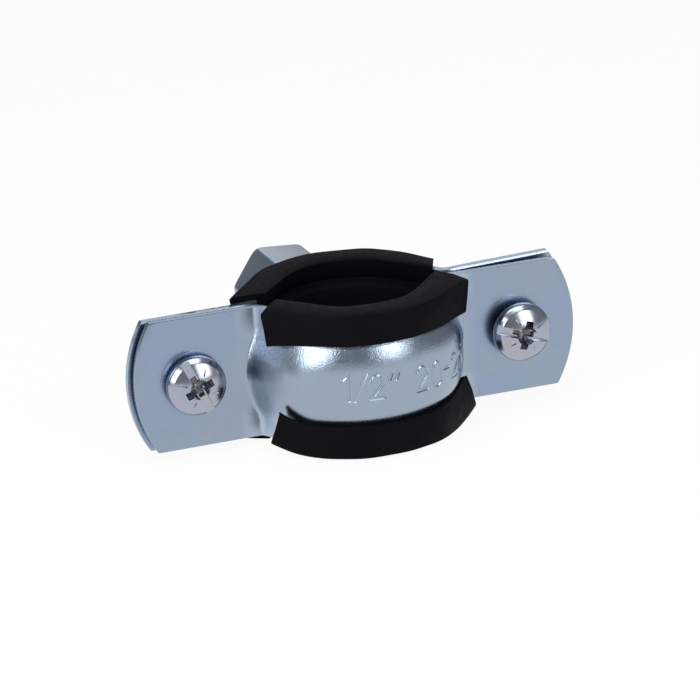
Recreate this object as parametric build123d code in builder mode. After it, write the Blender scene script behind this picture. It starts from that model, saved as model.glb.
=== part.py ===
"""Rubber-lined pipe clamp: two steel half shells with ears, two channel liners, two screws, one nut.

Frame, in millimetres: X runs along the ears, Y through the connection nut, Z along the pipe.
The origin is the middle of the pipe seat. The front half lies towards -Y, the rear half, which
carries the nut, towards +Y. The halves are parted by the plane Y = 0.
"""
from build123d import *

import os
from math import cos, radians, sin, sqrt, tan

# Steel band: a strip, formed to an arc about the pipe, a straight, a bend and an ear on each side
band_height = 20.0
band_thickness = 1.25
band_inner_radius = 12.9
band_arc = 60.0
ear_gap = 0.8
ear_middle_reach = 34.5
ear_corner_reach = 31.75
ear_corner_radius = 0.6
edge_bend_radius = 1.5

# Stiffening bead, pressed outwards along the middle of the band
bead_height = 1.2
bead_margin = 3.8  # flat strip from the bead to each edge of the band
bead_bend_radius = 5.5
bead_fullness = 3.0  # power of the bead's section: 2 is a parabola, a higher one is flatter
bead_levels = (-1.0, -0.8, -0.5, 0.0, 0.5, 0.8, 1.0)  # heights of the sections, as shares

# Liner: a channel section that wraps both edges of the band
pad_radius = 10.0
pad_half_width = 6.6
recess_radius = 11.65
recess_half_width = 7.4
rim_radius = 10.45
bore_arc = 50.0
liner_fit = 0.05
web_thickness = 0.85
lip_thickness = 1.15
lip_height = 4.65
flare_arc = 45.0
rear_flare_arc = 50.0
plain_arc = 58.0
end_setback = 1.5  # how far the free edges of the lips fall short at the ends

# Ends of the liners: how far each end lies from the pipe's axis, and the way it faces
front_end_angle = 45.0
front_end_reach = 7.6
rear_left_end_angle = 72.0
rear_left_end_reach = 3.3
rear_right_end_angle = 22.0
rear_right_end_reach = 12.1

# Screws: pan head with a slot and a cross recess, not driven quite home
screw_spacing = 50.8
screw_radius = 2.45
screw_length = 16.0
screw_tip_chamfer = 0.6
thread_fit = 0.05
front_hole_radius = 2.75
head_radius = 4.35
head_height = 3.1
head_side_height = 1.6
head_shoulder_radius = 0.5
slot_width = 1.3
slot_depth = 1.4
cross_span = 4.6
cross_width = 1.25
cross_core_radius = 1.25
cross_depth = 2.3
cross_taper = 8.0
slot_turns = {"left_screw": 114.0, "right_screw": -17.0}
head_lifts = {"left_screw": 0.5, "right_screw": 1.3}  # from the front ear to under the head

# Tapped collars drawn out of the rear ears
collar_radius = 3.7
collar_height = 1.8
collar_chamfer = 0.3

# Connection nut, welded to the crest of the rear shell, with two threads in line
nut_across_flats = 13.0
nut_length = 20.4
nut_turn = 4.0  # about Y, from X towards -Z
nut_face_radius = 6.2
nut_chamfer_angle = 30.0
outer_thread_radius = 4.25
outer_thread_depth = 10.0
inner_thread_radius = 3.4
thread_lead = 0.6

# Sizes worked out from the ones above
band_half = band_height / 2
bead_half_width = band_half - bead_margin
ear_front = ear_gap / 2 + band_thickness
band_outer_radius = band_inner_radius + band_thickness
liner_half = band_half + liner_fit + web_thickness
lip_edge = liner_half - lip_height
lip_inner_radius = band_outer_radius + liner_fit
lip_outer_radius = lip_inner_radius + lip_thickness
wall_radius = band_inner_radius - liner_fit
screw_x = screw_spacing / 2
crest_radius = band_outer_radius + bead_height
nut_corner_radius = nut_across_flats / sqrt(3)
nut_end = crest_radius + nut_length
thread_step = nut_end - outer_thread_depth
front_direction = 270.0  # -Y, in degrees from +X
cut_size = 2 * ear_middle_reach  # reaches past the whole clamp from its middle


def on_circle(radius, angle):
    """A point of the front half, at an angle from -Y towards +X."""
    return Vector(radius * sin(radians(angle)), -radius * cos(radians(angle)))


def band_path(radius, bend_radius, face_y):
    """One face of the strip, seen along Z: arc, and on each side a straight, a bend and an ear."""
    turn = radians(band_arc)
    straight = (radius * cos(turn) + face_y) / sin(turn) - bend_radius * tan(turn / 2)
    CenterArc((0, 0), radius, front_direction - band_arc, 2 * band_arc)
    ends = []
    for side in (-1, 1):
        heading = Vector(side * cos(turn), sin(turn))
        arc_end = on_circle(radius, side * band_arc)
        bend_start = arc_end + heading * straight
        Line(arc_end, bend_start)
        bend = JernArc(bend_start, heading, bend_radius, -side * band_arc)
        ear_end = (side * ear_middle_reach, face_y)
        Line(bend @ 1, ear_end)
        ends.append(ear_end)
    return ends


def band_section(height, crown):
    """Section of the front strip at a height: crown is 0 on the flat edges and 1 on the crest."""
    rise = crown * bead_height
    bend_radius = edge_bend_radius + crown * (bead_bend_radius - edge_bend_radius)
    with BuildSketch(Plane.XY.offset(height)) as section:
        with BuildLine() as outline:
            outer_ends = band_path(band_outer_radius + rise, bend_radius, -ear_front)
            inner_ends = band_path(
                band_inner_radius + rise, bend_radius + band_thickness, -ear_gap / 2
            )
            for outer_end, inner_end in zip(outer_ends, inner_ends):
                Line(outer_end, inner_end)
        make_face(outline.edges())
    return section.sketch


def ear_outline():
    """Outline of a half shell seen along Y: a strip with both ends cut to a shallow arc."""
    with BuildSketch(Plane.XZ) as outline:
        with BuildLine():
            for side in (-1, 1):
                ThreePointArc(
                    (side * ear_corner_reach, -band_half),
                    (side * ear_middle_reach, 0),
                    (side * ear_corner_reach, band_half),
                )
                Line(
                    (-ear_corner_reach, side * band_half),
                    (ear_corner_reach, side * band_half),
                )
        make_face()
        fillet(vertices(), ear_corner_radius)
    return outline.sketch


def half_shell():
    """The formed strip of the front half, with no holes yet."""
    for side in (-1, 1):
        edge_section = band_section(side * bead_half_width, 0)
        extrude(edge_section, amount=side * (band_half - bead_half_width))
    sections = []
    for level in bead_levels:
        crown = 1 - abs(level) ** bead_fullness
        sections.append(band_section(level * bead_half_width, crown))
    loft(sections)
    extrude(ear_outline(), amount=cut_size, both=True, mode=Mode.INTERSECT)


def inside_run(radius, left_arc, right_arc, mode=Mode.ADD):
    """Area inside a run: an arc about the pipe that goes over into a straight at each end."""
    top = band_outer_radius
    corners = []
    with BuildLine() as outline:
        CenterArc((0, 0), radius, front_direction - left_arc, left_arc + right_arc)
        for side, arc in ((-1, left_arc), (1, right_arc)):
            arc_end = on_circle(radius, side * arc)
            reach = (top - arc_end.Y) / tan(radians(arc))
            corner = (arc_end.X + side * reach, top)
            Line(arc_end, corner)
            corners.append(corner)
        Line(corners[0], corners[1])
    make_face(outline.edges(), mode=mode)


def bore_step(low, low_radius, high, high_radius):
    """Cut a stretch of the liner's bore, between two heights, each with its own radius."""
    outlines = []
    for height, radius in ((low, low_radius), (high, high_radius)):
        with BuildSketch(Plane.XY.offset(height)) as outline:
            inside_run(radius, bore_arc, bore_arc)
        outlines.append(outline.sketch)
    loft(outlines, ruled=True, mode=Mode.SUBTRACT)


def channel(left_arc, right_arc):
    """The channel of a front liner: a wall inside the band, and a web and a lip round each edge."""
    with BuildSketch(Plane.XY.offset(-liner_half)) as blank:
        inside_run(lip_outer_radius, left_arc, right_arc)
    extrude(blank.sketch, amount=2 * liner_half)
    with BuildSketch(Plane.XY.offset(-band_half - liner_fit)) as slot:
        inside_run(lip_inner_radius, left_arc, right_arc)
        inside_run(wall_radius, band_arc, band_arc, Mode.SUBTRACT)
    extrude(slot.sketch, amount=2 * (band_half + liner_fit), mode=Mode.SUBTRACT)
    with BuildSketch(Plane.XY.offset(-lip_edge)) as window:
        inside_run(cut_size, left_arc, right_arc)
        inside_run(wall_radius, band_arc, band_arc, Mode.SUBTRACT)
    extrude(window.sketch, amount=2 * lip_edge, mode=Mode.SUBTRACT)
    with BuildSketch(Plane.XY.offset(-pad_half_width)) as pad:
        inside_run(pad_radius, bore_arc, bore_arc)
    extrude(pad.sketch, amount=2 * pad_half_width, mode=Mode.SUBTRACT)
    for side in (-1, 1):
        bore_step(side * pad_half_width, pad_radius, side * recess_half_width, recess_radius)
        bore_step(side * recess_half_width, recess_radius, side * liner_half, rim_radius)


def cut_end(side, angle, reach):
    """Cut a liner's end off, facing an angle from X, with the free edges of its lips set back."""
    facing = Vector(side * cos(radians(angle)), sin(radians(angle)), 0)
    end_plane = Plane(origin=(0, 0, 0), x_dir=facing, z_dir=facing.cross(Vector(0, 0, 1)))
    with BuildSketch(end_plane) as waste:
        with BuildLine() as outline:
            Polyline(
                (reach, liner_half),
                (reach - end_setback, lip_edge),
                (reach - end_setback, -lip_edge),
                (reach, -liner_half),
                (cut_size, -liner_half),
                (cut_size, liner_half),
                close=True,
            )
        make_face(outline.edges())
    extrude(waste.sketch, amount=cut_size, both=True, mode=Mode.SUBTRACT)


def ear_holes(radius):
    """A round hole through both ears."""
    with BuildSketch(Plane.XZ) as holes:
        with Locations((-screw_x, 0), (screw_x, 0)):
            Circle(radius)
    extrude(holes.sketch, amount=cut_size, both=True, mode=Mode.SUBTRACT)


def build_screw(name, side):
    """A pan head screw, with its head off the front ear and its thread through the rear collar."""
    x = side * screw_x
    seat = -ear_front - head_lifts[name]
    tip = seat + screw_length
    side_top = seat - head_side_height
    head_top = seat - head_height
    recess_plane = Plane(origin=(x, head_top, 0), x_dir=(1, 0, 0), z_dir=(0, -1, 0))
    turn = slot_turns[name]
    with BuildPart() as screw:
        with BuildSketch(Plane.XY):
            with BuildLine():
                Polyline(
                    (x, head_top),
                    (x, tip),
                    (x + screw_radius - screw_tip_chamfer, tip),
                    (x + screw_radius, tip - screw_tip_chamfer),
                    (x + screw_radius, seat),
                    (x + head_radius, seat),
                    (x + head_radius, side_top),
                )
                TangentArc((x, head_top), (x + head_radius, side_top), tangent=(1, 0))
            make_face()
            shoulder = vertices().sort_by_distance((x + head_radius, side_top))[0]
            fillet(shoulder, head_shoulder_radius)
        revolve(axis=Axis((x, 0, 0), (0, 1, 0)))
        with BuildSketch(recess_plane):
            Rectangle(2 * head_radius, slot_width, rotation=turn)
        extrude(amount=-slot_depth, mode=Mode.SUBTRACT)
        with BuildSketch(recess_plane):
            Rectangle(cross_span, cross_width, rotation=turn)
            Rectangle(cross_width, cross_span, rotation=turn)
            Circle(cross_core_radius)
        extrude(amount=-cross_depth, taper=cross_taper, mode=Mode.SUBTRACT)
    screw.part.label = name
    export_step(screw.part, f"parts/{name}.step")
    return screw.part


os.makedirs("parts", exist_ok=True)

with BuildPart() as front_shell:
    half_shell()
    ear_holes(front_hole_radius)
front_shell.part.label = "front_shell"
export_step(front_shell.part, "parts/front_shell.step")

with BuildPart() as rear_shell:
    half_shell()
    mirror(about=Plane.XZ, mode=Mode.REPLACE)
    collar_plane = Plane(origin=(0, ear_front, 0), x_dir=(1, 0, 0), z_dir=(0, 1, 0))
    with BuildSketch(collar_plane):
        with Locations((-screw_x, 0), (screw_x, 0)):
            Circle(collar_radius)
    extrude(amount=collar_height)
    collar_tops = faces().filter_by(Axis.Y).sort_by(Axis.Y)[-2:]
    chamfer(collar_tops.edges(), collar_chamfer)
    ear_holes(screw_radius + thread_fit)
rear_shell.part.label = "rear_shell"
export_step(rear_shell.part, "parts/rear_shell.step")

with BuildPart() as connection_nut:
    with BuildSketch(Plane(origin=(0, nut_end, 0), x_dir=(1, 0, 0), z_dir=(0, 1, 0))):
        RegularPolygon(nut_across_flats / 2, 6, major_radius=False, rotation=nut_turn)
    extrude(amount=-nut_end)
    with BuildSketch(Plane.XY):
        with BuildLine():
            chamfer_depth = (nut_corner_radius - nut_face_radius) * tan(radians(nut_chamfer_angle))
            Polyline(
                (0, 0),
                (nut_corner_radius, 0),
                (nut_corner_radius, nut_end - chamfer_depth),
                (nut_face_radius, nut_end),
                (0, nut_end),
                close=True,
            )
        make_face()
    revolve(axis=Axis.Y, mode=Mode.INTERSECT)
    with BuildSketch(Plane.XY):
        with BuildLine():
            Polyline(
                (0, 0),
                (inner_thread_radius + thread_lead, 0),
                (inner_thread_radius + thread_lead, crest_radius),
                (inner_thread_radius, crest_radius + thread_lead),
                (inner_thread_radius, thread_step),
                (outer_thread_radius, thread_step),
                (outer_thread_radius, nut_end - thread_lead),
                (outer_thread_radius + thread_lead, nut_end),
                (0, nut_end),
                close=True,
            )
        make_face()
    revolve(axis=Axis.Y, mode=Mode.SUBTRACT)
    add(rear_shell.part, mode=Mode.SUBTRACT)
    piece_inside_band = solids().sort_by(Axis.Y)[0]
    add(piece_inside_band, mode=Mode.SUBTRACT)
connection_nut.part.label = "connection_nut"
export_step(connection_nut.part, "parts/connection_nut.step")

with BuildPart() as front_liner:
    channel(flare_arc, flare_arc)
    for side in (-1, 1):
        cut_end(side, front_end_angle, front_end_reach)
front_liner.part.label = "front_liner"
export_step(front_liner.part, "parts/front_liner.step")

with BuildPart() as rear_liner:
    channel(rear_flare_arc, plain_arc)
    cut_end(-1, rear_left_end_angle, rear_left_end_reach)
    cut_end(1, rear_right_end_angle, rear_right_end_reach)
    mirror(about=Plane.XZ, mode=Mode.REPLACE)
    add(connection_nut.part, mode=Mode.SUBTRACT)
rear_liner.part.label = "rear_liner"
export_step(rear_liner.part, "parts/rear_liner.step")

for name, side in (("left_screw", -1), ("right_screw", 1)):
    build_screw(name, side)
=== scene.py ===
"""Looks of the rubber-lined pipe clamp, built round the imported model. Sizes below are in millimetres."""
import math
from collections import namedtuple

import bmesh
import bpy
from mathutils import Matrix, Vector, noise
from mathutils.geometry import tessellate_polygon


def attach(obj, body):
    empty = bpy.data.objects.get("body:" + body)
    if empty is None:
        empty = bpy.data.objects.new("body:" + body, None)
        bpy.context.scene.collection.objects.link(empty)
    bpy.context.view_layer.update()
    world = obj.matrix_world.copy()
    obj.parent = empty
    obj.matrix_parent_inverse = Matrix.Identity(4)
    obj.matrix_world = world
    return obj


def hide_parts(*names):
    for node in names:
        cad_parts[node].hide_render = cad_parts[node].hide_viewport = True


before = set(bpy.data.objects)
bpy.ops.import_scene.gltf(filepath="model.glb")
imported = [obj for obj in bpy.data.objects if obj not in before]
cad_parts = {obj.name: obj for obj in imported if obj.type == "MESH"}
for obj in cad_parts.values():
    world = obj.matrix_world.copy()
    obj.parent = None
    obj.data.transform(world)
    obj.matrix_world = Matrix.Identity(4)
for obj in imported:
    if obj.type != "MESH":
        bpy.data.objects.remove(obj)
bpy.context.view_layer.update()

MM = 0.001

# Steel strip; angles go each way from its crest, and a zone is where something grows from none to full
STRIP_HALF = 10.0
STRIP_THICK = 1.25
STRIP_OUTER = 14.15
STRIP_ARC = math.radians(60.0)
EAR_INNER_Y = 0.4
EAR_MIDDLE = 34.5
EAR_CORNER = 31.75
EAR_CORNER_RADIUS = 0.35
EDGE_BEND = 1.5
EDGE_ROLL = 0.25
EDGE_ROLL_SLOPE = 0.6
EDGE_ROLL_ZONE = (15.0, 17.5)
FRONT_EDGE = 0.28
REAR_EDGE = 0.14

# Bead pressed along the strip
BEAD_BEND = 5.5
BEAD_RISE = 1.2
BEAD_HALF = 6.3
BEAD_POWER = 3.0
BEAD_MIDDLE = -0.3

# Ends of the front band by side, where -1 is the left. The crease is the bend of the strip's edges,
# and the end bend is that of its middle.
FRONT_ARC = {-1: math.radians(60.0), 1: math.radians(78.0)}
CREASE = {-1: 3.4, 1: 0.6}
END_BEND = {-1: 5.0, 1: 1.2}
END_RISE = {-1: 0.45, 1: 0.85}
END_RISE_ZONE = (math.radians(20.0), math.radians(55.0))
END_HALF = 7.2
END_POWER = 1.5
LEFT_END_ZONE = (math.radians(25.0), math.radians(58.0))

# The front band's left bend is sharper beside the ear than beside the arc
FIRST_BEND = 0.7
FIRST_TURN = math.radians(48.0)

# Mesh steps of a shell; the figures start at an angle left of the crest
FIGURES_ARC = math.radians(30.0)
FIGURES_STEPS = 288
PLAIN_STEPS = 20
REAR_ARC_STEPS = 60
STRAIGHT_STEPS = {"front": {-1: 16, 1: 6}, "rear": {-1: 16, 1: 14}}
BEND_STEPS = 18
EAR_STEPS = 14
EAR_CROWDING = 1.4

# Set of the ears: spring and tilts are slopes past the root, the others are shifts
EarSet = namedtuple("EarSet", "spring close right_lift right_tilt left_lift left_tilt right_shift left_shift")
FRONT_SET = EarSet(-0.02, 0.0, 0.0, 0.004, 0.0, 0.0, 0.0, 0.3)
REAR_SET = EarSet(0.028, 0.06, 0.2, 0.02, -0.19, -0.006, 0.15, -0.25)
EAR_ROOT = 17.0
CLOSE_ZONE = (16.5, 21.0)
LIFT_ZONE = (13.0, 18.0)
SHIFT_ZONE = (20.0, 32.0)

# Holes and collars of the ears; a collar's rim is given as (inset from the radius, distance from the end)
FRONT_HOLE = 2.75
REAR_HOLE = 2.52
HOLE_LENGTH = 8.0
COLLAR_RADIUS = 3.75
COLLAR_HEIGHT = 1.8
COLLAR_ROOT = 0.4
COLLAR_RIM = [(0.05, 0.6), (0.2, 0.2), (0.55, 0.0)]

# Stamped figures
STROKE_HALF = 0.27
STROKE_WALL = 0.12
STROKE_DEPTH = 0.14
STROKE_REACH = 0.6
FIGURES_HALF = 2.7
FIGURES_START = -8.0
FIGURES_END = 18.6

# Screws; the head's edge is given as (inset from the radius, distance from the seat), and the core
# of its recess as (radius, depth)
SCREW_X = 25.4
SCREW_RADIUS = 2.45
SCREW_ROOT = 2.05
SCREW_PITCH = 0.8
SCREW_LENGTH = 16.0
SCREW_TIP = 0.6
THREAD_FLANK = (0.12, 0.88)
HEAD_RADIUS = 4.5
HEAD_HEIGHT = 3.1
HEAD_SIDE = 1.6
HEAD_EDGE = [
    (0.45, 0.0), (0.2, 0.08), (0.06, 0.25), (0.01, 0.5), (0.0, 0.8), (0.03, 1.1), (0.1, 1.35), (0.24, 1.56),
    (0.42, 1.7),
]
DOME_INSET = 0.62
HEAD_LIFT = {"left_screw": 0.5, "right_screw": 1.3}
SLOT_TURN = {"left_screw": 114.0, "right_screw": -17.0}
SLOT_WIDTH = 1.3
SLOT_DEPTH = 1.7
CROSS_ARM = 2.4
CROSS_HALF = 0.64
CROSS_TAPER = 0.62
CROSS_RUN = 2.7
CORE = [(1.25, 1.2), (0.9, 2.1), (0.0, 2.7)]
CORE_MOUTH = 1.6
TICK_START = 2.0
TICK_END = 3.05
TICK_HALF = 0.1
TICK_DEPTH = 0.7
# Where a head's recess is painted darker as shade: its radius, the height of the band, and how far past the
# slot's floor it starts
RECESS_RADIUS = 2.6
RECESS_HIGH = 1.6
RECESS_MARGIN = 0.06
ABOVE_HEAD = 0.3

# Nut; its crown is given as (radius, distance from its end)
NUT_FLATS = 13.0
NUT_START = 15.35
NUT_END = 35.75
NUT_STEP = 25.75
NUT_TURN = 4.0
NUT_HIDDEN_START = 9.0
NUT_CORNER = 0.75
NUT_CROWN = [(8.6, 4.0), (8.05, 1.9), (7.4, 1.05), (6.5, 0.25), (5.9, 0.0)]
NUT_CROWN_OUTER = 9.5
NUT_CROWN_HEIGHT = 3.0
NUT_MOUTH = 5.0
NUT_MOUTH_DEPTH = 0.65
NUT_BORE = 4.35
NUT_BORE_FOOT = 4.3
NUT_NARROW = 3.45
NUT_BACK = 4.0
NUT_LEAN_X = 0.018
NUT_LEAN_Z = 0.008

# Liner; radii are about the pipe's axis, and the seat is the pad that touches the pipe
LINER_HALF = 10.9
LINER_LOW = 11.15
LINER_CORNER = 0.28
LINER_MOUTH = 10.45
SEAT = 10.0
GROOVE = 11.65
LIP_ROOT = 12.8
LIP_EDGE = 6.2
LOWER_LIP_EDGE = 6.25
LIP_OUTER = 15.35
LIP_INNER = 14.2
LIP_MIDDLE = 8.7
WALL_OUTER = 12.85
WALL_HALF = 10.05
SEAT_ARC = 50.0
WALL_ARC = 60.0
LINER_ARC_STEPS = 44
FLARE_STEPS = 14

# A lip's end. Its outer corner starts to turn in at a reach and gains with the square of what is past it,
# and so does its free edge. It also sags, reaches further and has its free edge set back.
Lip = namedtuple("Lip", "tip_start tip_gain edge_start edge_gain sag reach setback")
UPPER, LOWER = 1, -1
FRONT_LIPS = {
    (-1, UPPER): Lip(11.0, 0.03, 7.5, 0.0145, 0.0, -0.43, 0.9),
    (-1, LOWER): Lip(10.8, 0.058, 10.4, 0.1, 0.0, -0.87, 2.0),
    (1, UPPER): Lip(11.0, 0.025, 5.0, 0.0075, 0.0, 0.75, 1.2),
    (1, LOWER): Lip(12.3, 0.045, 7.0, 0.034, 0.3, 1.7, 2.9),
}
REAR_LIP = Lip(8.0, 0.005, 8.0, 0.005, 0.0, 0.0, 1.5)
REAR_LIPS = {
    (-1, UPPER): REAR_LIP,
    (-1, LOWER): Lip(8.0, 0.0, 8.0, 0.0, 0.0, 1.0, 1.5),
    (1, UPPER): REAR_LIP,
    (1, LOWER): REAR_LIP,
}
REAR_LIP_LIFT = 0.14
REAR_CORNER_SAG = 0.55

# Slow waves of the rubber's edges: height, and steps through the noise for each millimetre
WAVE = 0.12
WAVE_STEP = 0.22
WAVE_HEIGHT_STEP = 0.12
REAR_WAVE_PLACE = 7.0

# Studio
FLOOR_HALF = 900.0
FLOOR_GAP = 0.35
FLOOR_NEAR = 120.0
FLOOR_FAR = 420.0
FLOOR_FAR_TONE = 0.45
FLOOR_SEEN_SHARE = 0.93


# Helpers


def smooth(value, low, high):
    """0 below low, 1 above high, with a soft step between."""
    t = min(1.0, max(0.0, (value - low) / (high - low)))
    return t * t * (3.0 - 2.0 * t)


def make_object(name, verts, faces):
    """A mesh object from points in millimetres."""
    mesh = bpy.data.meshes.new(name)
    mesh.from_pydata([Vector(v) * MM for v in verts], [], faces)
    mesh.validate()
    obj = bpy.data.objects.new(name, mesh)
    bpy.context.scene.collection.objects.link(obj)
    return obj


def recalculate(obj):
    """Turns all faces outwards."""
    bm = bmesh.new()
    bm.from_mesh(obj.data)
    bmesh.ops.remove_doubles(bm, verts=bm.verts, dist=1e-7)
    bmesh.ops.recalc_face_normals(bm, faces=bm.faces)
    bm.to_mesh(obj.data)
    bm.free()


def apply_all(obj):
    """Applies the modifiers of an object to its mesh."""
    depsgraph = bpy.context.evaluated_depsgraph_get()
    mesh = bpy.data.meshes.new_from_object(obj.evaluated_get(depsgraph))
    old = obj.data
    obj.modifiers.clear()
    obj.data = mesh
    bpy.data.meshes.remove(old)


def combine(obj, operation, *tools):
    """Joins tools to an object, or cuts them out of it, and removes them."""
    for tool in tools:
        modifier = obj.modifiers.new("combine", "BOOLEAN")
        modifier.operation = operation
        modifier.solver = "EXACT"
        modifier.object = tool
    apply_all(obj)
    for tool in tools:
        mesh = tool.data
        bpy.data.objects.remove(tool)
        bpy.data.meshes.remove(mesh)


def round_edges(obj, width, angle, segments=2):
    """Rounds every edge sharper than an angle."""
    modifier = obj.modifiers.new("round", "BEVEL")
    modifier.width = width * MM
    modifier.segments = segments
    modifier.limit_method = "ANGLE"
    modifier.angle_limit = math.radians(angle)
    apply_all(obj)


def shade(obj, angle=40.0):
    """Smooth shading, with creases sharper than an angle kept."""
    for polygon in obj.data.polygons:
        polygon.use_smooth = True
    bm = bmesh.new()
    bm.from_mesh(obj.data)
    limit = math.radians(angle)
    for edge in bm.edges:
        if len(edge.link_faces) == 2:
            edge.smooth = edge.calc_face_angle(0.0) < limit
    bm.to_mesh(obj.data)
    bm.free()


def spread(start, end, steps):
    """Evenly spaced values from a start to an end, with both of them."""
    return [start + (end - start) * k / steps for k in range(steps + 1)]


def ring_outline(radius, segments=64):
    """Points round a circle."""
    angles = [2 * math.pi * k / segments for k in range(segments)]
    return [(radius * math.cos(a), radius * math.sin(a)) for a in angles]


def rectangle(low_x, high_x, half_z):
    """Corners of a rectangle that is as high above its middle line as below."""
    return [(low_x, -half_z), (high_x, -half_z), (high_x, half_z), (low_x, half_z)]


def prism(name, outline, origin, depth, taper=1.0):
    """A prism whose outline lies in XZ at an origin and that runs along +Y; taper scales its far end."""
    verts = []
    for step, scale in ((0.0, 1.0), (depth, taper)):
        for x, z in outline:
            verts.append((origin[0] + x * scale, origin[1] + step, origin[2] + z * scale))
    count = len(outline)
    faces = [tuple(range(count)), tuple(range(2 * count - 1, count - 1, -1))]
    for i in range(count):
        j = (i + 1) % count
        faces.append((i, i + count, j + count, j))
    obj = make_object(name, verts, faces)
    recalculate(obj)
    return obj


def lathe(name, profile, centre, segments=96):
    """A solid of revolution about an axis along Y: profile is a list of (radius, y), ends on the axis."""
    verts = []
    rings = []
    for radius, y in profile:
        if radius < 1e-6:
            rings.append([len(verts)])
            verts.append((centre[0], y, centre[1]))
            continue
        ring = []
        for x, z in ring_outline(radius, segments):
            ring.append(len(verts))
            verts.append((centre[0] + x, y, centre[1] + z))
        rings.append(ring)
    faces = []
    for one, two in zip(rings, rings[1:]):
        for k in range(segments):
            m = (k + 1) % segments
            if len(one) == 1:
                faces.append((one[0], two[k], two[m]))
            elif len(two) == 1:
                faces.append((one[k], two[0], one[m]))
            else:
                faces.append((one[k], two[k], two[m], one[m]))
    obj = make_object(name, verts, faces)
    recalculate(obj)
    return obj


# Stamped figures


def glyph_arc(cx, cz, rx, rz, start, end, steps=14):
    """Points along an ellipse's arc."""
    angles = [math.radians(a) for a in spread(start, end, steps)]
    return [(cx + rx * math.cos(a), cz + rz * math.sin(a)) for a in angles]


def glyph_one():
    """A one with a flag and no foot."""
    return [[(-0.95, 1.25), (-0.1, 2.0), (-0.1, -2.05)]]


def glyph_two():
    """A two with a round top and a straight foot."""
    return [glyph_arc(0.0, 0.85, 1.0, 1.15, 165, -38) + [(-1.05, -2.05), (1.1, -2.05)]]


def glyph_zero():
    """A zero as a closed ellipse."""
    return [glyph_arc(0.0, 0.0, 1.05, 2.05, 0, 360, 28)]


def glyph_five():
    """A five with a straight top and an open bowl."""
    return [[(0.95, 2.0), (-0.7, 2.0), (-0.85, 0.25)] + glyph_arc(0.0, -0.75, 1.05, 1.3, 125, -145, 18)]


SLASH = [[(0.95, 2.05), (-1.0, -2.15)]]
INCH_TICK = [[(0.22, 0.45), (-0.2, -0.45)]]
DASH = [[(-0.65, 0.0), (0.6, 0.0)]]

# Each figure's strokes, arc length from the crest, height and scale
MARKS = [
    (glyph_one(), -5.95, 0.0, 1.0),
    (SLASH, -4.3, 0.0, 1.0),
    (glyph_two(), -1.9, -0.05, 0.92),
    (INCH_TICK, 0.2, 1.1, 1.0),
    (INCH_TICK, 1.25, 1.05, 1.0),
    (glyph_two(), 5.5, -0.25, 0.95),
    (glyph_zero(), 8.55, -0.35, 0.95),
    (DASH, 10.85, -0.2, 1.0),
    (glyph_two(), 13.2, -0.3, 0.9),
    (glyph_five(), 15.55, -0.3, 0.85),
]


def stroke_segments():
    """All strokes of the figures as short lines in (arc length, height)."""
    lines = []
    for strokes, s0, z0, scale in MARKS:
        for stroke in strokes:
            points = [(s0 + x * scale, z0 + z * scale) for x, z in stroke]
            lines.extend(zip(points, points[1:]))
    return lines


LINES = stroke_segments()


def stamp_depth(s, z):
    """Depth of the stamped figures at a place on the strip's outer face."""
    nearest = math.inf
    for (x1, z1), (x2, z2) in LINES:
        if s < min(x1, x2) - STROKE_REACH or s > max(x1, x2) + STROKE_REACH:
            continue
        dx, dz = x2 - x1, z2 - z1
        t = ((s - x1) * dx + (z - z1) * dz) / (dx * dx + dz * dz)
        t = min(1.0, max(0.0, t))
        nearest = min(nearest, math.hypot(s - x1 - t * dx, z - z1 - t * dz))
    return STROKE_DEPTH * (1.0 - smooth(nearest, STROKE_HALF - STROKE_WALL, STROKE_HALF))


def stamped(points, i, z):
    """A point of the front band's outer face, pressed in where a figure is stamped."""
    p, s = points[i]
    if abs(z) >= FIGURES_HALF or not FIGURES_START < s < FIGURES_END:
        return p
    along = (points[i + 1][0] - points[i - 1][0]).normalized()
    return p + Vector((-along.y, along.x)) * stamp_depth(s, z)


# Steel shells


def ear_end(z):
    """How far the ear reaches at a height."""
    sagitta = EAR_MIDDLE - EAR_CORNER
    radius = (STRIP_HALF**2 + sagitta**2) / (2 * sagitta)
    middle = EAR_MIDDLE - radius
    r = EAR_CORNER_RADIUS
    zc = STRIP_HALF - r
    xc = middle + math.sqrt((radius - r) ** 2 - zc**2)
    z_touch = zc * radius / (radius - r)
    if abs(z) > z_touch:
        return xc + math.sqrt(max(0.0, r * r - (abs(z) - zc) ** 2))
    return middle + math.sqrt(radius**2 - z * z)


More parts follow.
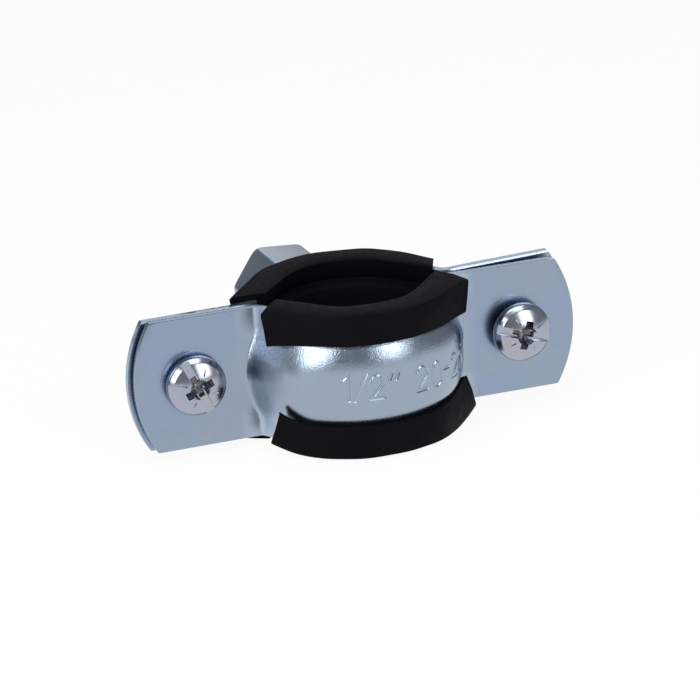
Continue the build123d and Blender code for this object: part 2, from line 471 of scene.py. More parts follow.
def strip_half(side, z, crown, soft, skin, rear):
    """Points of one face from the arc's end to the ear's, laid out to the right, each with its arc length.
    crown and soft are shares of the bead's height and of its bend; skin is how far in the face lies."""
    if rear:
        turn, rise = STRIP_ARC, BEAD_RISE
        bend = EDGE_BEND + crown * (BEAD_BEND - EDGE_BEND) + skin
    else:
        turn, rise = FRONT_ARC[side], BEAD_RISE + END_RISE[side]
        bend = CREASE[side] + soft * (END_BEND[side] - CREASE[side]) + skin
    first = bend if rear or side > 0 else FIRST_BEND + skin
    ca, sa = math.cos(turn), math.sin(turn)
    cf, sf = math.cos(FIRST_TURN), math.sin(FIRST_TURN)
    radius = STRIP_OUTER + crown * rise - skin
    straight = (radius * ca - EAR_INNER_Y - STRIP_THICK + skin) / sa
    straight -= (first * (1.0 - cf) + bend * (cf - ca)) / sa
    heading = Vector((ca, sa))
    start = Vector((radius * sa, -radius * ca))
    s = radius * turn
    steps = STRAIGHT_STEPS["rear" if rear else "front"][side]
    half = []
    for k in range(1, steps + 1):
        t = straight * k / steps
        half.append((start + heading * t, s + t))
    s += straight
    centre = start + heading * straight + Vector((sa, -ca)) * bend
    first_steps = BEND_STEPS // 3
    for a in spread(turn, FIRST_TURN, BEND_STEPS - first_steps)[1:]:
        half.append((centre - Vector((math.sin(a), -math.cos(a))) * bend, s + bend * (turn - a)))
    s += bend * (turn - FIRST_TURN)
    centre += Vector((sf, -cf)) * (first - bend)
    for a in spread(FIRST_TURN, 0.0, first_steps)[1:]:
        half.append((centre - Vector((math.sin(a), -math.cos(a))) * first, s + first * (FIRST_TURN - a)))
    s += first * FIRST_TURN
    foot = half[-1][0]
    reach = ear_end(z) - foot.x
    for k in range(1, EAR_STEPS + 1):
        t = reach * (k / EAR_STEPS) ** EAR_CROWDING
        half.append((foot + Vector((t, 0.0)), s + t))
    return half


def strip_row(z, outer, angles, rear):
    """Points of one face of the strip at a height, from the left ear to the right one.
    Each comes with its arc length from the crest."""
    level = abs(z - (0.0 if rear else BEAD_MIDDLE)) / BEAD_HALF
    full = max(0.0, 1.0 - level**BEAD_POWER)
    soft = max(0.0, 1.0 - level * level) ** END_POWER
    fade = max(0.0, 1.0 - (level * BEAD_HALF / END_HALF) ** 2) ** END_POWER
    skin = 0.0 if outer else STRIP_THICK
    left, right = [strip_half(side, z, full if rear else fade, soft, skin, rear) for side in (-1, 1)]
    arc = []
    for a in angles:
        crown, rise = full, BEAD_RISE
        if not rear:
            crown += (fade - full) * smooth(-a, *LEFT_END_ZONE)
            rise += END_RISE[-1 if a < 0.0 else 1] * smooth(abs(a), *END_RISE_ZONE)
        radius = STRIP_OUTER + crown * rise - skin
        arc.append((Vector((radius * math.sin(a), -radius * math.cos(a))), radius * a))
    return [(Vector((-p.x, p.y)), -s) for p, s in reversed(left)] + arc + right


def strip_heights():
    """Heights of the mesh rows of a shell: close at the edge and where the figures are."""
    edge = [STRIP_HALF - d for d in (0.0, 0.03, 0.1, 0.2, 0.31, 0.45, 0.8, 1.4, 2.2, 2.8)]
    bead = spread(6.9, 5.3, 8) + spread(5.0, 3.2, 6) + [2.95, FIGURES_HALF]
    half = edge + bead + spread(2.6, 0.0, 26)
    return [-z for z in half[:-1]] + half[::-1]


def arc_angles(rear):
    """Angles of the mesh columns on the arc: close where the figures are."""
    if rear:
        return spread(-STRIP_ARC, STRIP_ARC, REAR_ARC_STEPS)
    plain = spread(-FRONT_ARC[-1], -FIGURES_ARC, PLAIN_STEPS)
    return plain[:-1] + spread(-FIGURES_ARC, FRONT_ARC[1], FIGURES_STEPS)


def settle(x, y, z, rear):
    """The small set of each ear: closed up on the left, sprung open on the right."""
    ears = REAR_SET if rear else FRONT_SET
    past_right, past_left = max(0.0, x - EAR_ROOT), max(0.0, -x - EAR_ROOT)
    y += ears.spring * past_right - ears.close * smooth(-x, *CLOSE_ZONE)
    z += ears.right_lift * smooth(x, *LIFT_ZONE) + ears.right_tilt * past_right
    z += ears.left_lift * smooth(-x, *LIFT_ZONE) + ears.left_tilt * past_left
    x += ears.right_shift * smooth(x, *SHIFT_ZONE) + ears.left_shift * smooth(-x, *SHIFT_ZONE)
    return x, y, z


def sheet_faces(one, two):
    """Faces of a closed sheet between two grids of point numbers: both sides and the rim."""
    rows, columns = len(one), len(one[0])
    faces = []
    for r in range(rows - 1):
        for c in range(columns - 1):
            faces.append((one[r][c], one[r][c + 1], one[r + 1][c + 1], one[r + 1][c]))
            faces.append((two[r][c], two[r + 1][c], two[r + 1][c + 1], two[r][c + 1]))
        for c in (0, columns - 1):
            faces.append((one[r][c], one[r + 1][c], two[r + 1][c], two[r][c]))
    for c in range(columns - 1):
        for r in (0, rows - 1):
            faces.append((one[r][c], one[r][c + 1], two[r][c + 1], two[r][c]))
    return faces


def shell(name, rear):
    """A half shell of formed strip. Its holes are cut afterwards."""
    angles = arc_angles(rear)
    verts = []
    grids = []
    for outer in (True, False):
        grid = []
        for z in strip_heights():
            points = strip_row(z, outer, angles, rear)
            roll = EDGE_ROLL_SLOPE * max(0.0, abs(z) - STRIP_HALF + EDGE_ROLL) if rear and not outer else 0.0
            row = []
            for i, (p, _) in enumerate(points):
                if outer and not rear:
                    p = stamped(points, i, z)
                y = (-p.y if rear else p.y) + roll * smooth(abs(p.x), *EDGE_ROLL_ZONE)
                row.append(len(verts))
                verts.append(settle(p.x, y, z, rear))
            grid.append(row)
        grids.append(grid)
    obj = make_object(name, verts, sheet_faces(*grids))
    recalculate(obj)
    return obj


def collar(side):
    """The collar drawn out of a rear ear, rounded off towards its rim."""
    foot = EAR_INNER_Y + STRIP_THICK
    rim = foot + COLLAR_HEIGHT
    profile = [(0.0, foot - COLLAR_ROOT), (COLLAR_RADIUS, foot - COLLAR_ROOT), (COLLAR_RADIUS, foot + 0.1)]
    profile += [(COLLAR_RADIUS - inset, rim - drop) for inset, drop in COLLAR_RIM]
    profile.append((0.0, rim))
    return lathe(f"collar{side}", profile, (side * SCREW_X, 0.0))


def screw_hole(side, rear):
    """What is cut out of an ear for its screw."""
    radius, start = (REAR_HOLE, -1.0) if rear else (FRONT_HOLE, -6.0)
    return prism(f"hole{side}", ring_outline(radius), (side * SCREW_X, start, 0.0), HOLE_LENGTH)


def make_shells():
    """Both shells, with the holes in their ears and the collars of the rear ones."""
    made = []
    for name, node, rear in (("band_front", "front_shell", False), ("band_rear", "rear_shell", True)):
        obj = shell(name, rear)
        if rear:
            for side in (-1, 1):
                combine(obj, "UNION", collar(side))
        combine(obj, "DIFFERENCE", *[screw_hole(side, rear) for side in (-1, 1)])
        round_edges(obj, REAR_EDGE if rear else FRONT_EDGE, 50.0)
        shade(obj, 38.0)
        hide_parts(node)
        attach(obj, "rear_half" if rear else "front_half")
        made.append(obj)
    return made


# Screws


def screw_shank(name, x, seat):
    """The threaded shank: a helical thread with a run-out at the tip. It starts inside the head."""
    per_turn, rows_per_pitch, hidden = 48, 10, 0.5
    tip = seat + SCREW_LENGTH
    start = seat - hidden
    row_step = SCREW_PITCH / rows_per_pitch
    rows = int((tip - start) / row_step)
    verts = []
    faces = []
    grid = []
    for r in range(rows + 1):
        y = min(tip, start + r * row_step)
        ring = []
        for k in range(per_turn):
            a = 2 * math.pi * k / per_turn
            phase = ((y - seat) / SCREW_PITCH + a / (2 * math.pi)) % 1.0
            crest = smooth(abs(2.0 * phase - 1.0), *THREAD_FLANK)
            radius = SCREW_ROOT + (SCREW_RADIUS - SCREW_ROOT) * crest
            radius = min(radius, SCREW_RADIUS - SCREW_TIP + tip - y)
            ring.append(len(verts))
            verts.append((x + radius * math.cos(a), y, radius * math.sin(a)))
        grid.append(ring)
    for one, two in zip(grid, grid[1:]):
        for k in range(per_turn):
            m = (k + 1) % per_turn
            faces.append((one[k], two[k], two[m], one[m]))
    faces.append(tuple(grid[0]))
    faces.append(tuple(reversed(grid[-1])))
    obj = make_object(name, verts, faces)
    recalculate(obj)
    return obj


def head_blank(name, x, seat):
    """A pan head before its recess is cut: a rounded side and a domed top."""
    top = seat - HEAD_HEIGHT
    rise = HEAD_HEIGHT - HEAD_SIDE
    dome_radius = (HEAD_RADIUS**2 + rise**2) / (2 * rise)
    profile = [(0.0, seat)] + [(HEAD_RADIUS - inset, seat - drop) for inset, drop in HEAD_EDGE]
    for radius in spread(HEAD_RADIUS - DOME_INSET, 0.0, 26):
        profile.append((radius, top + dome_radius - math.sqrt(dome_radius**2 - radius**2)))
    return lathe(name, profile, (x, 0.0), 128)


def cross_outline():
    """The cross recess at the head's top, arm by arm."""
    corners = [(-CROSS_ARM, -CROSS_HALF), (-CROSS_HALF, -CROSS_HALF), (-CROSS_HALF, -CROSS_ARM)]
    outline = []
    for _ in range(4):
        outline.extend(corners)
        corners = [(-z, x) for x, z in corners]
    return outline


def recess_tools(name):
    """What is cut out of a head: a full slot, a cross with its core, and a tick between each two arms."""
    above = (0.0, -ABOVE_HEAD, 0.0)
    slot_half = HEAD_RADIUS + 1.0
    slot_outline = rectangle(-slot_half, slot_half, SLOT_WIDTH / 2)
    slot = prism(name + "_slot", slot_outline, (0.0, -1.0, 0.0), SLOT_DEPTH + 1.0)
    cross = prism(name + "_cross", cross_outline(), above, CROSS_RUN, CROSS_TAPER)
    core_profile = [(0.0, -ABOVE_HEAD), (CORE_MOUTH, -ABOVE_HEAD)] + CORE
    core = lathe(name + "_core", core_profile, (0.0, 0.0), 48)
    tools = [slot, cross, core]
    for k in range(4):
        tick_outline = rectangle(TICK_START, TICK_END, TICK_HALF)
        tick = prism(f"{name}_tick{k}", tick_outline, above, ABOVE_HEAD + TICK_DEPTH)
        tick.data.transform(Matrix.Rotation(-math.radians(45 + 90 * k), 4, "Y"))
        tools.append(tick)
    return tools


def screw_head(name, x, seat, turn):
    """Pan head with a full slot and a cross recess."""
    obj = head_blank(name, x, seat)
    tools = recess_tools(name)
    top = Matrix.Translation(Vector((x, seat - HEAD_HEIGHT, 0.0)) * MM)
    for tool in tools:
        tool.data.transform(top @ Matrix.Rotation(-math.radians(turn), 4, "Y"))
    combine(obj, "DIFFERENCE", *tools)
    return obj


def make_screws():
    """Both screws, each with its head and its threaded shank."""
    made = []
    for node, side in (("left_screw", -1), ("right_screw", 1)):
        x = side * SCREW_X
        seat = -EAR_INNER_Y - STRIP_THICK - HEAD_LIFT[node]
        head = screw_head(node + "_head", x, seat, SLOT_TURN[node])
        round_edges(head, 0.09, 40.0, 3)
        shank = screw_shank(node + "_thread", x, seat)
        for obj in (head, shank):
            shade(obj, 40.0)
            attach(obj, node + "_body")
            made.append(obj)
        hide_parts(node)
    return made


# Nut


def disc(name, radius, low, high):
    """A round block about the nut's axis."""
    return lathe(name, [(0.0, low), (radius, low), (radius, high), (0.0, high)], (0.0, 0.0))


def nut_crown():
    """What is cut off the nut's corners at its end: a ring with a rounded cone inside."""
    ring = disc("ring", NUT_CROWN_OUTER, NUT_END - NUT_CROWN_HEIGHT, NUT_END + 1.0)
    profile = [(radius, NUT_END - drop) for radius, drop in NUT_CROWN]
    profile = [(0.0, profile[0][1])] + profile + [(0.0, NUT_END)]
    combine(ring, "DIFFERENCE", lathe("inside", profile, (0.0, 0.0)))
    return ring


def nut_bore():
    """The nut's two bores in line, the wide one with a chamfered mouth."""
    profile = [
        (0.0, NUT_END + 1.0), (NUT_MOUTH, NUT_END + 1.0), (NUT_MOUTH, NUT_END - 0.02),
        (NUT_BORE, NUT_END - NUT_MOUTH_DEPTH), (NUT_BORE_FOOT, NUT_STEP), (NUT_NARROW, NUT_STEP - 0.5),
        (NUT_NARROW, NUT_START + 0.6), (NUT_BACK, NUT_START), (NUT_BACK, 5.0), (0.0, 5.0),
    ]
    return lathe("bore", profile, (0.0, 0.0))


def make_nut():
    """The connection nut: a hexagon with rounded corners, a chamfered end and two bores. It leans."""
    corner = NUT_FLATS / math.sqrt(3)
    angles = [math.radians(60 * k - NUT_TURN) for k in range(6)]
    outline = [(corner * math.cos(a), corner * math.sin(a)) for a in angles]
    obj = prism("nut", outline, (0.0, NUT_HIDDEN_START, 0.0), NUT_END - NUT_HIDDEN_START)
    round_edges(obj, NUT_CORNER, 30.0, 5)
    band = disc("band_inside", NUT_START - 0.02, -STRIP_HALF, STRIP_HALF)
    band.data.transform(Matrix.Rotation(math.pi / 2, 4, "X"))
    combine(obj, "DIFFERENCE", nut_crown(), band, nut_bore())
    for vertex in obj.data.vertices:
        far = max(0.0, vertex.co.y - NUT_START * MM)
        vertex.co.x -= NUT_LEAN_X * far
        vertex.co.z -= NUT_LEAN_Z * far
    shade(obj, 30.0)
    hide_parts("connection_nut")
    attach(obj, "rear_half")
    return obj


# Liners


def liner_profile(low):
    """Corners of the liner's section, going round, as (radius, height, angle where the path leaves its arc).
    A lip has no angle of its own: its path leaves with the flare. low is how far down the section goes."""
    r = LINER_CORNER
    foot = [(LIP_OUTER - r, -low), (LIP_ROOT, -low)]
    pad = [
        (SEAT + 0.55, 10.1), (SEAT + 1.1, 8.75), (GROOVE, 7.5), (GROOVE - 0.15, 7.3), (SEAT + 0.7, 6.95),
        (SEAT + 0.05, 6.66), (SEAT, 6.4), (SEAT, 3.2),
    ]
    inside = [(LINER_MOUTH + r, -low), (LINER_MOUTH, -low + r * 0.6)]
    inside += [(radius, -z) for radius, z in pad] + [(SEAT, 0.0)] + pad[::-1]
    inside += [(LINER_MOUTH, LINER_HALF - r * 0.6), (LINER_MOUTH + r, LINER_HALF)]
    upper_lip = [
        (LIP_ROOT, LINER_HALF),
        (LIP_OUTER - r, LINER_HALF),
        (LIP_OUTER - r * 0.3, LINER_HALF - r * 0.3),
        (LIP_OUTER, LINER_HALF - r),
        (LIP_OUTER, LIP_MIDDLE),
        (LIP_OUTER, LIP_EDGE + 0.2),
        (LIP_OUTER - 0.06, LIP_EDGE + 0.06),
        (LIP_OUTER - 0.2, LIP_EDGE),
        (LIP_INNER + 0.25, LIP_EDGE),
        (LIP_INNER + 0.04, LIP_EDGE + 0.2),
        (LIP_INNER, LIP_EDGE + 0.5),
        (LIP_INNER, WALL_HALF),
    ]
    wall = [(WALL_OUTER, z) for z in (WALL_HALF, 5.0, 0.0, -5.0, -WALL_HALF)]
    lower_lip = [
        (LIP_INNER, -WALL_HALF),
        (LIP_INNER, -LOWER_LIP_EDGE - 1.0),
        (LIP_INNER + 0.35, -LOWER_LIP_EDGE - 0.25),
        (LIP_INNER + 0.5, -LOWER_LIP_EDGE),
        (LIP_OUTER - 0.26, -LOWER_LIP_EDGE),
        (LIP_OUTER - 0.12, -LOWER_LIP_EDGE - 0.04),
        (LIP_OUTER - 0.03, -LOWER_LIP_EDGE - 0.13),
        (LIP_OUTER, -LOWER_LIP_EDGE - 0.3),
        (LIP_OUTER, -LIP_MIDDLE),
        (LIP_OUTER, -low + r),
        (LIP_OUTER - r * 0.3, -low + r * 0.3),
    ]
    stretches = ((foot, None), (inside, SEAT_ARC), (upper_lip, None), (wall, WALL_ARC), (lower_lip, None))
    return [(radius, z, arc) for corners, arc in stretches for radius, z in corners]


def lip_share(z):
    """0 at the liner's top or bottom, 1 at the free edge of a lip."""
    return min(1.0, max(0.0, (LINER_HALF - abs(z)) / (LINER_HALF - LIP_EDGE)))


def arc_end(radius, arc, side):
    """Where a path leaves its arc, and its heading there."""
    start = Vector((side * radius * math.sin(arc), -radius * math.cos(arc)))
    return start, Vector((side * math.cos(arc), math.sin(arc)))


def shortened_arc(radius, arc, side, facing, reach):
    """The angle where an arc meets the plane of the liner's end, found by halving."""
    low, high = 0.0, arc
    for _ in range(40):
        middle = (low + high) / 2
        if arc_end(radius, middle, side)[0].dot(facing) < reach:
            low = middle
        else:
            high = middle
    return low


def half_path(radius, z, arc, side, end, lip):
    """One side of a corner's path: the angle of its arc, and the points of its straight after that.
    The straight goes up to a plane; end is the angle that the plane faces and its reach."""
    angle, reach = end
    facing = Vector((side * math.cos(math.radians(angle)), math.sin(math.radians(angle))))
    reach += lip.reach * smooth(abs(z), 5.5, 7.0) - lip.setback * lip_share(z)
    start, heading = arc_end(radius, arc, side)
    length = (reach - start.dot(facing)) / heading.dot(facing)
    if length < 0.0:
        arc = shortened_arc(radius, arc, side, facing, reach)
        start, heading = arc_end(radius, arc, side)
        length = 0.001
    return arc, [start + heading * (length * k / FLARE_STEPS) for k in range(1, FLARE_STEPS + 1)]


def path(radius, z, arc, ends, flares, lips):
    """Points along the liner for a corner of its section, from the left end to the right one."""
    edge = UPPER if z > 0 else LOWER
    halves = []
    for side in (-1, 1):
        turn = math.radians(flares[side] if arc is None else arc)
        halves.append(half_path(radius, z, turn, side, ends[side], lips[side, edge]))
    (left_arc, left), (right_arc, right) = halves
    middle = [
        Vector((radius * math.sin(a), -radius * math.cos(a)))
        for a in spread(-left_arc, right_arc, LINER_ARC_STEPS)
    ]
    return left[::-1] + middle + right


def worn_height(p, radius, z, lips, rear):
    """Height of a liner's point after its lips are turned in, sag and wave."""
    lip = lips[1 if p.x > 0 else -1, UPPER if z > 0 else LOWER]
    reach = abs(p.x)
    tip = lip.tip_gain * max(0.0, reach - lip.tip_start) ** 2 - lip.sag * smooth(reach, 5.0, 11.0)
    edge = lip.edge_gain * max(0.0, reach - lip.edge_start) ** 2
    on_lip = smooth(radius, 11.0, LIP_OUTER - 1.0) * smooth(abs(z), 5.0, 5.8)
    drop = (tip + (edge - tip) * lip_share(z)) * on_lip
    offset = REAR_WAVE_PLACE if rear else 0.0
    place = Vector((p.x * WAVE_STEP, p.y * WAVE_STEP + offset, z * WAVE_HEIGHT_STEP))
    lift = noise.noise(place) * WAVE + (REAR_LIP_LIFT if rear and z > 0.0 else 0.0)
    height = z - (drop if z > 0.0 else -drop) + lift * smooth(abs(z), 6.0, 7.0)
    if rear and z < -8.0:
        height -= REAR_CORNER_SAG * smooth(-p.x, 11.0, 13.0) * (1.0 - smooth(-p.x, 15.5, 17.0))
    return height


def close_ends(obj, grid, profile):
    """Closes both ends of a liner with the shape of its section."""
    section = tessellate_polygon([[Vector((radius, z, 0.0)) for radius, z, _ in profile]])
    bm = bmesh.new()
    bm.from_mesh(obj.data)
    bm.verts.ensure_lookup_table()
    for k in (0, len(grid[0]) - 1):
        for corners in section:
            bm.faces.new([bm.verts[grid[i][k]] for i in corners])
    bmesh.ops.recalc_face_normals(bm, faces=bm.faces)
    bm.to_mesh(obj.data)
    bm.free()


def liner(name, low, ends, flares, lips, rear):
    """A liner: its section is carried along the arc and out into the flares, and cut off at its ends.
    For each side, ends has the angle that the end faces and its reach, and flares the angle of the flare."""
    profile = liner_profile(low)
    verts = []
    grid = []
    for radius, z, arc in profile:
        row = []
        for p in path(radius, z, arc, ends, flares, lips):
            row.append(len(verts))
            verts.append((p.x, -p.y if rear else p.y, worn_height(p, radius, z, lips, rear)))
        grid.append(row)
    faces = []
    for one, two in zip(grid, grid[1:] + grid[:1]):
        for k in range(len(one) - 1):
            faces.append((one[k], two[k], two[k + 1], one[k + 1]))
    obj = make_object(name, verts, faces)
    close_ends(obj, grid, profile)
    shade(obj, 42.0)
    return obj


def make_liners():
    """Both liners. The rear one is pushed to the left, so its two ends differ."""
    front_ends, front_flares = {-1: (45.0, 7.6), 1: (45.0, 7.6)}, {-1: 45.0, 1: 45.0}
    rear_ends, rear_flares = {-1: (72.0, 3.3), 1: (22.0, 12.1)}, {-1: 50.0, 1: 58.0}
    front = liner("liner_front", LINER_LOW, front_ends, front_flares, FRONT_LIPS, False)
    rear = liner("liner_rear", LINER_HALF, rear_ends, rear_flares, REAR_LIPS, True)
    for obj, node, body in ((front, "front_liner", "front_half"), (rear, "rear_liner", "rear_half")):
        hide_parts(node)
        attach(obj, body)
    return [front, rear]


# Materials


class Nodes:
    """Short calls for building a material's node tree."""

    def __init__(self, name):
        self.material = bpy.data.materials.new(name)
        self.material.use_nodes = True
        self.tree = self.material.node_tree
        self.tree.nodes.clear()
        self.output = self.tree.nodes.new("ShaderNodeOutputMaterial")
        self.shader = self.tree.nodes.new("ShaderNodeBsdfPrincipled")
        self.link(self.shader.outputs[0], self.output.inputs["Surface"])

    def add(self, kind, **settings):
        """A new node of a kind, with its settings."""
        node = self.tree.nodes.new(kind)
        for key, value in settings.items():
            setattr(node, key, value)
        return node

    def link(self, source, target):
        """Joins an output to an input."""
        self.tree.links.new(source, target)

    def coordinates(self):
        """The place on the piece, in metres."""
        return self.add("ShaderNodeTexCoord").outputs["Object"]

    def noise(self, scale, detail=3.0, roughness=0.55, stretch=(1, 1, 1), distortion=0.0):
        """Noise at a scale in cells per millimetre."""
        mapping = self.add("ShaderNodeMapping")
        mapping.inputs["Scale"].default_value = stretch
        self.link(self.coordinates(), mapping.inputs["Vector"])
        node = self.add("ShaderNodeTexNoise")
        node.inputs["Scale"].default_value = scale / MM
        node.inputs["Detail"].default_value = detail
        node.inputs["Roughness"].default_value = roughness
        node.inputs["Distortion"].default_value = distortion
        self.link(mapping.outputs[0], node.inputs["Vector"])
        return node.outputs["Fac"]

    def ramp(self, source, stops):
        """Colours from a value, by stops of (place, colour)."""
        node = self.add("ShaderNodeValToRGB")
        elements = node.color_ramp.elements
        while len(elements) < len(stops):
            elements.new(0.5)
        for element, (place, colour) in zip(elements, stops):
            element.position = place
            element.color = (*colour, 1.0)
        self.link(source, node.inputs["Fac"])
        return node.outputs["Color"]

    def span(self, source, low, high, to_low, to_high):
        """A value carried from one range to another."""
        node = self.add("ShaderNodeMapRange")
        node.inputs["From Min"].default_value = low
        node.inputs["From Max"].default_value = high
        node.inputs["To Min"].default_value = to_low
        node.inputs["To Max"].default_value = to_high
        self.link(source, node.inputs["Value"])
        return node.outputs["Result"]

    def math(self, operation, a, b=None):
        """An arithmetic step on one or two values or sockets."""
        node = self.add("ShaderNodeMath", operation=operation)
        for socket, value in zip(node.inputs, (a, b)):
            if value is None:
                continue
            if isinstance(value, (int, float)):
                socket.default_value = value
            else:
                self.link(value, socket)
        return node.outputs[0]

    def bump(self, height, strength, distance, normal=None):
        """A bumped normal, on top of another one if that is given; the distance is in millimetres."""
        node = self.add("ShaderNodeBump")
        node.inputs["Strength"].default_value = strength
        node.inputs["Distance"].default_value = distance * MM
        self.link(height, node.inputs["Height"])
        if normal is not None:
            self.link(normal, node.inputs["Normal"])
        return node.outputs["Normal"]

    def mix(self, factor, one, two):
        """A blend of two colours."""
        node = self.add("ShaderNodeMix", data_type="RGBA")
        self.link(factor, node.inputs[0])
        for socket, value in ((node.inputs[6], one), (node.inputs[7], two)):
            if isinstance(value, tuple):
                socket.default_value = (*value, 1.0)
            else:
                self.link(value, socket)
        return node.outputs[2]


# Roughness, tone and shoulder grain of the drawn middle of the strip; the lighter tone is painted reflection
Formed = namedtuple("Formed", "rough tone grain")


def formed_middle(n, tint, roughness, normal, rough, formed):
    """The drawn middle of the strip: its own roughness, a lighter tone that is painted reflection, paler
    edges that are painted highlight, and a grainy shoulder.
    """
    place = n.add("ShaderNodeSeparateXYZ")
    n.link(n.coordinates(), place.inputs[0])
    across, height = n.math("ABSOLUTE", place.outputs["X"]), place.outputs["Z"]
    near = n.span(across, 16.4 * MM, 18.8 * MM, 1.0, 0.0)
    edge = n.span(n.math("ABSOLUTE", height), 5.4 * MM, 7.0 * MM, 0.0, 1.0)
    plain_edge_painted_highlight = n.math("MULTIPLY", near, edge)
    roughness = n.math("ADD", roughness, n.math("MULTIPLY", near, formed.rough - rough))
    roughness = n.math("ADD", roughness, n.math("MULTIPLY", plain_edge_painted_highlight, 0.12))
    # Painted reflection: the middle gets a lighter, warmer tone for the brighter reflection it shows
    tint = n.mix(near, tint, formed.tone)
    # Painted highlight: the plain strip above and below the bead is made paler still
    tint = n.mix(plain_edge_painted_highlight, tint, tuple(1.28 * c for c in formed.tone))
    shoulder = n.math("MULTIPLY", n.span(height, 2.0 * MM, 3.6 * MM, 0.0, 1.0), near)
    grit = n.math("MULTIPLY", n.noise(5.0, detail=1.0, roughness=0.5), shoulder)
    return tint, roughness, n.bump(grit, formed.grain, 0.05, normal)


def zinc(name, base, warm, cool, rough, grain, formed=None):
    """Blue-passivated zinc plate: faint colour clouds, fine grain and soft streaks."""
    n = Nodes(name)
    n.shader.inputs["Metallic"].default_value = 1.0
    cloud = n.noise(0.09, detail=3.0, roughness=0.5, distortion=0.6)
    tint = n.ramp(cloud, [(0.34, warm), (0.5, base), (0.68, cool)])
    streak = n.noise(0.35, detail=4.0, roughness=0.6, stretch=(0.25, 1, 3.0))
    tint = n.mix(n.span(streak, 0.35, 0.7, 0.0, 0.12), tint, tuple(c * 0.86 for c in base))
    patches = n.noise(0.5, detail=4.0, roughness=0.6)
    roughness = n.span(patches, 0.3, 0.7, rough * 0.9, rough * 1.15)
    normal = n.bump(n.noise(0.6, detail=2.0, roughness=0.5), 0.08, 0.10)
    normal = n.bump(n.noise(5.0, detail=2.0, roughness=0.6), grain, 0.02, normal)
    if formed:
        tint, roughness, normal = formed_middle(n, tint, roughness, normal, rough, formed)
    n.link(tint, n.shader.inputs["Base Color"])
    n.link(roughness, n.shader.inputs["Roughness"])
    n.link(normal, n.shader.inputs["Normal"])
    return n.material


def rubber(name, base, rough, gloss):
    """Black rubber: a dull satin skin with faint clouds."""
    n = Nodes(name)
    cloud = n.noise(0.12, detail=3.0, roughness=0.5)
    tint = n.ramp(cloud, [(0.3, tuple(c * 0.85 for c in base)), (0.7, tuple(c * 1.25 for c in base))])
    patches = n.noise(0.8, detail=3.0, roughness=0.6)
    roughness = n.span(patches, 0.3, 0.7, rough - 0.06, rough + 0.08)
    normal = n.bump(n.noise(0.5, detail=2.0, roughness=0.5), 0.25, 0.12)
    normal = n.bump(n.noise(4.0, detail=3.0, roughness=0.6), 0.25, 0.05, normal)
    n.link(tint, n.shader.inputs["Base Color"])
    n.link(roughness, n.shader.inputs["Roughness"])
    n.link(normal, n.shader.inputs["Normal"])
    n.shader.inputs["Specular IOR Level"].default_value = gloss
    return n.material


# Studio


def make_floor():
    """A pale ground. It is lit like any other, and seen as white, also in the metal; the metal sees it
    go grey far out."""
    half, low = FLOOR_HALF, -LINER_LOW - FLOOR_GAP
    floor = make_object("floor", [(x, y, low) for x, y in rectangle(-half, half, half)], [(0, 1, 2, 3)])
    n = Nodes("floor_pale")
    n.shader.inputs["Base Color"].default_value = (0.9, 0.9, 0.9, 1.0)
    n.shader.inputs["Roughness"].default_value = 0.9
    rays = n.add("ShaderNodeLightPath")
    camera, glossy = rays.outputs["Is Camera Ray"], rays.outputs["Is Glossy Ray"]
    seen = n.add("ShaderNodeEmission")
    seen.inputs["Color"].default_value = (1.0, 1.0, 1.0, 1.0)
    distance = n.add("ShaderNodeVectorMath", operation="LENGTH")
    n.link(n.coordinates(), distance.inputs[0])
    tone = n.span(distance.outputs["Value"], FLOOR_NEAR * MM, FLOOR_FAR * MM, 1.0, FLOOR_FAR_TONE)
    n.link(n.math("MAXIMUM", tone, camera), seen.inputs["Strength"])
    direct = n.math("MAXIMUM", camera, n.math("MAXIMUM", glossy, rays.outputs["Is Transmission Ray"]))
    mixer = n.add("ShaderNodeMixShader")
    n.link(n.math("MULTIPLY", direct, FLOOR_SEEN_SHARE), mixer.inputs[0])
    n.link(n.shader.outputs[0], mixer.inputs[1])
    n.link(seen.outputs[0], mixer.inputs[2])
    n.link(mixer.outputs[0], n.output.inputs["Surface"])
    floor.data.materials.append(n.material)


def make_world():
    """An even grey room."""
    world = bpy.data.worlds.new("studio")
    bpy.context.scene.world = world
    world.use_nodes = True
    room = world.node_tree.nodes["Background"]
    room.inputs["Color"].default_value = (0.27, 0.275, 0.29, 1.0)
    room.inputs["Strength"].default_value = 1.0


def area_light(name, azimuth, elevation, distance, width, height, power):
    """A softbox that faces the clamp; azimuth 0 is the side of the screw heads."""
    a, e = math.radians(azimuth), math.radians(elevation)
    away = Vector((math.sin(a) * math.cos(e), -math.cos(a) * math.cos(e), math.sin(e)))
    data = bpy.data.lights.new(name, "AREA")
    data.shape = "RECTANGLE"
    data.size = width * MM
    data.size_y = height * MM
    data.energy = power
    light = bpy.data.objects.new(name, data)
    bpy.context.scene.collection.objects.link(light)
    light.location = away * distance * MM
    light.rotation_mode = "QUATERNION"
    light.rotation_quaternion = away.to_track_quat("Z", "Y")


def make_lights():
    """Two softboxes in front, one overhead and a faint panel behind."""
    area_light("box_left", -63.0, 24.0, 420.0, 200.0, 260.0, 0.95)
    area_light("box_right", 26.0, 24.0, 420.0, 200.0, 260.0, 0.62)
    area_light("box_top", -18.0, 84.0, 450.0, 420.0, 300.0, 1.0)
    area_light("panel_back", 150.0, 24.0, 600.0, 600.0, 240.0, 0.36)


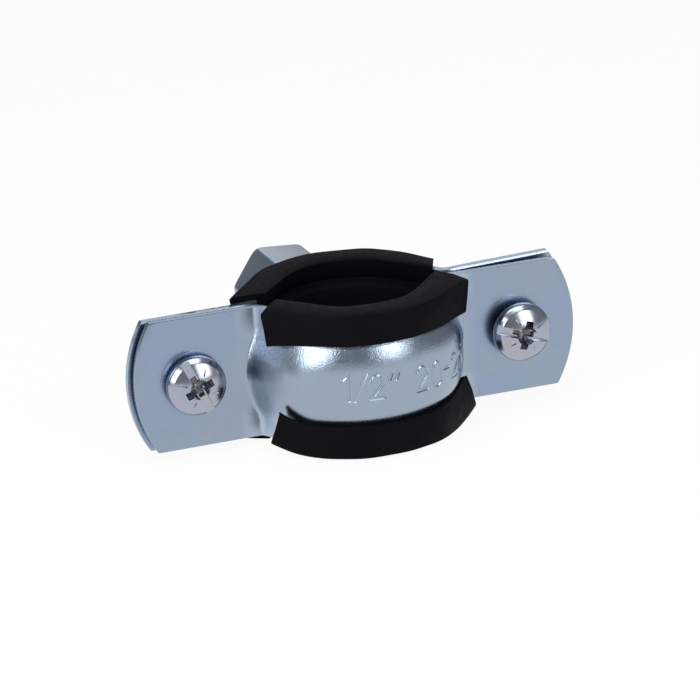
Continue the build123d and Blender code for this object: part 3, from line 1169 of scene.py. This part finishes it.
def make_camera():
    """The photograph's viewpoint: 450 mm away, to the left and above, rolled a little."""
    azimuth, elevation, roll = math.radians(-18.55), math.radians(19.95), math.radians(-3.15)
    distance, shift_x, shift_z, ear_front = 450.0, -1.29, 0.81, 2.05
    focal_pixels, photo_pixels, sensor = 3044.0, 700.0, 36.0
    level = math.cos(elevation)
    back = Vector((math.sin(azimuth) * level, -math.cos(azimuth) * level, math.sin(elevation)))
    right = Vector((math.cos(azimuth), math.sin(azimuth), 0.0))
    up = back.cross(right)
    rolled_right = right * math.cos(roll) + up * math.sin(roll)
    rolled_up = up * math.cos(roll) - right * math.sin(roll)
    place = back * distance + rolled_right * shift_x + rolled_up * shift_z - Vector((0.0, ear_front, 0.0))
    data = bpy.data.cameras.new("camera")
    data.sensor_width = sensor
    data.lens = focal_pixels / photo_pixels * sensor
    data.clip_start, data.clip_end = 0.01, 10.0
    camera = bpy.data.objects.new("camera", data)
    bpy.context.scene.collection.objects.link(camera)
    turn = Matrix((rolled_right, rolled_up, back)).transposed()
    camera.matrix_world = Matrix.Translation(place * MM) @ turn.to_4x4()
    bpy.context.scene.camera = camera


# Build


def paint(obj, *materials):
    """Gives an object its materials, with the first one on every face."""
    obj.data.materials.clear()
    for material in materials:
        obj.data.materials.append(material)


def paint_recess_shade(head):
    """Puts a screw head's second material, a darker zinc that is painted shade, on the faces deep in its
    recess.
    """
    axis = (-SCREW_X if head.name.startswith("left") else SCREW_X) * MM
    low = min(vertex.co.y for vertex in head.data.vertices) + (SLOT_DEPTH + RECESS_MARGIN) * MM
    for polygon in head.data.polygons:
        at = polygon.center
        if low < at.y < low + RECESS_HIGH * MM and math.hypot(at.x - axis, at.z) < RECESS_RADIUS * MM:
            polygon.material_index = 1


# The middle's roughness and grain are its own; its lighter tone is painted reflection
middle_grain_and_painted_reflection = Formed(rough=0.25, tone=(0.33, 0.40, 0.49), grain=0.7)
band_cool = (0.30, 0.36, 0.50)
band_zinc = zinc("band_zinc", (0.29, 0.37, 0.48), (0.32, 0.37, 0.45), band_cool, 0.26, 0.03, middle_grain_and_painted_reflection)
screw_zinc = zinc("screw_zinc", (0.40, 0.42, 0.49), (0.44, 0.43, 0.48), (0.37, 0.41, 0.49), 0.21, 0.10)
# Painted shade: a dark zinc for the faces deep in the screws' recesses
recess_zinc_painted_shade = zinc("recess_zinc_painted_shade", (0.16, 0.15, 0.17), (0.17, 0.14, 0.14), (0.13, 0.14, 0.18), 0.3, 0.3)
nut_zinc = zinc("nut_zinc", (0.29, 0.37, 0.47), (0.34, 0.38, 0.44), (0.28, 0.36, 0.48), 0.24, 0.15)
rubber_skin = rubber("rubber_skin", (0.0030, 0.0030, 0.0044), 0.62, 0.05)

for piece in make_shells():
    paint(piece, band_zinc)
for piece in make_screws():
    paint(piece, screw_zinc, recess_zinc_painted_shade)
    if piece.name.endswith("head"):
        paint_recess_shade(piece)
paint(make_nut(), nut_zinc)
for piece in make_liners():
    paint(piece, rubber_skin)

make_floor()
make_world()
make_lights()
make_camera()

scene = bpy.context.scene
scene.view_settings.view_transform = "Standard"
